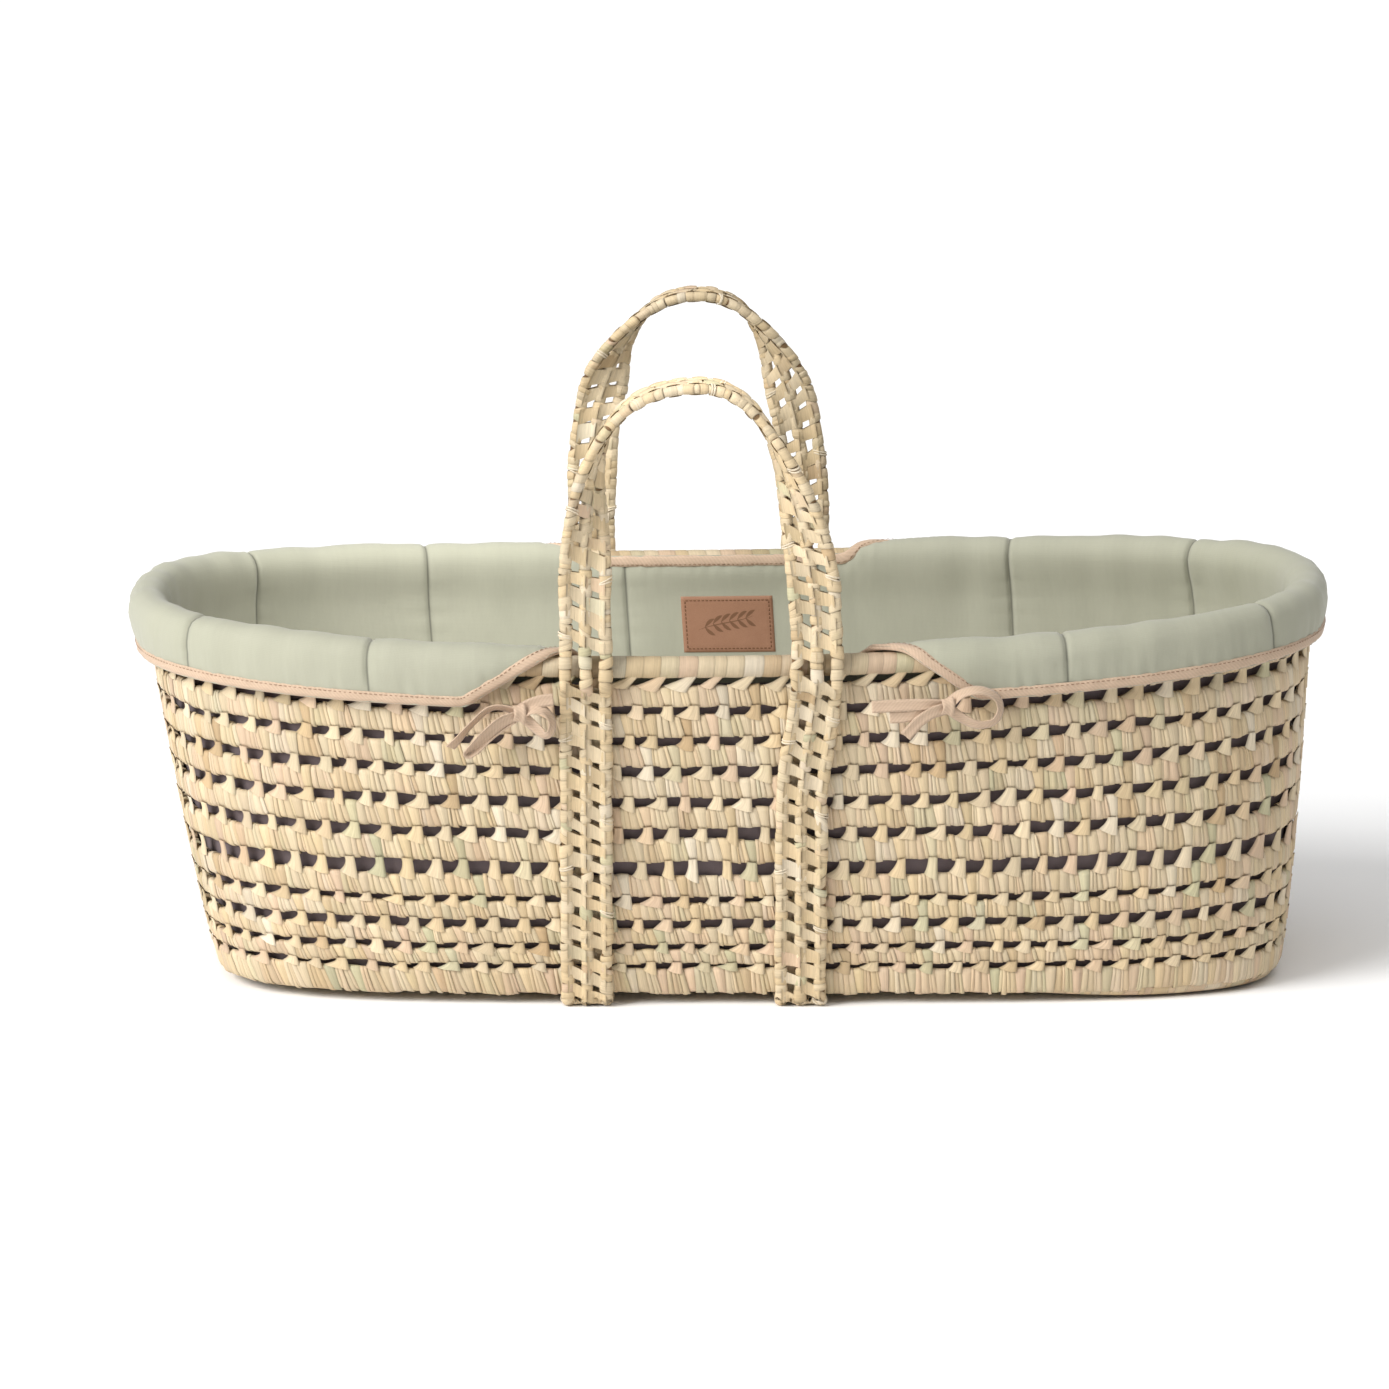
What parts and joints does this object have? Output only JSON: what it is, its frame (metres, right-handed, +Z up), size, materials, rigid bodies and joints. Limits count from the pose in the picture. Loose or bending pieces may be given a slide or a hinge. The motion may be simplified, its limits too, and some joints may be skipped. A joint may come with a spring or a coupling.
{
  "type": "moses basket",
  "caption": "Oval open-weave moses basket with two hoop handles, straps under the base, padded liner with tied skirts and a mattress.",
  "frame": {"origin": "centre of the object's box, on the floor under the straps", "axes": "+X along the length towards the higher head end, +Y to the back, the side that carries the label, +Z up"},
  "size_m": [0.8586, 0.4698, 0.4569],
  "materials": {
    "palm_leaf": "dry woven leaf, slightly silky along the fibre",
    "sage_cotton": "matt quilted cotton",
    "blush_tape": "matt cotton bias tape",
    "tan_patch": "matt embossed patch",
    "mattress_cover": "fine woven cotton cover"
  },
  "bodies": {
    "basket": {"base_mat": "palm_leaf", "wall_coil_01": "palm_leaf", "wall_coil_02": "palm_leaf", "wall_coil_03": "palm_leaf", "wall_coil_04": "palm_leaf", "wall_coil_05": "palm_leaf", "wall_coil_06": "palm_leaf", "wall_coil_07": "palm_leaf", "wall_coil_08": "palm_leaf", "wall_coil_09": "palm_leaf", "wall_coil_10": "palm_leaf", "wall_coil_11": "palm_leaf", "rim_hoop": "palm_leaf", "strap_left": "palm_leaf", "strap_right": "palm_leaf", "liner": "sage_cotton", "liner_binding": "blush_tape", "label_patch": "tan_patch", "tie_bow_front_left": "blush_tape", "tie_bow_front_right": "blush_tape", "tie_bow_back_left": "blush_tape", "tie_bow_back_right": "blush_tape"},
    "front_handle": {"front_handle": "palm_leaf"},
    "back_handle": {"back_handle": "palm_leaf"},
    "mattress": {"mattress": "mattress_cover"}
  },
  "joints": [
    {"name": "front_handle_swing", "type": "hinge", "parent": "basket", "child": "front_handle", "pos_m": [-0.0205, -0.21605, 0.2662], "axis": [1, 0, 0], "range_deg": [-85, 150]},
    {"name": "back_handle_swing", "type": "hinge", "parent": "basket", "child": "back_handle", "pos_m": [-0.0205, 0.21605, 0.2662], "axis": [-1, 0, 0], "range_deg": [-85, 150]},
    {"name": "mattress_lift", "type": "slide", "parent": "basket", "child": "mattress", "axis": [0, 0, 1], "range_m": [0, 0.15]}
  ]
}
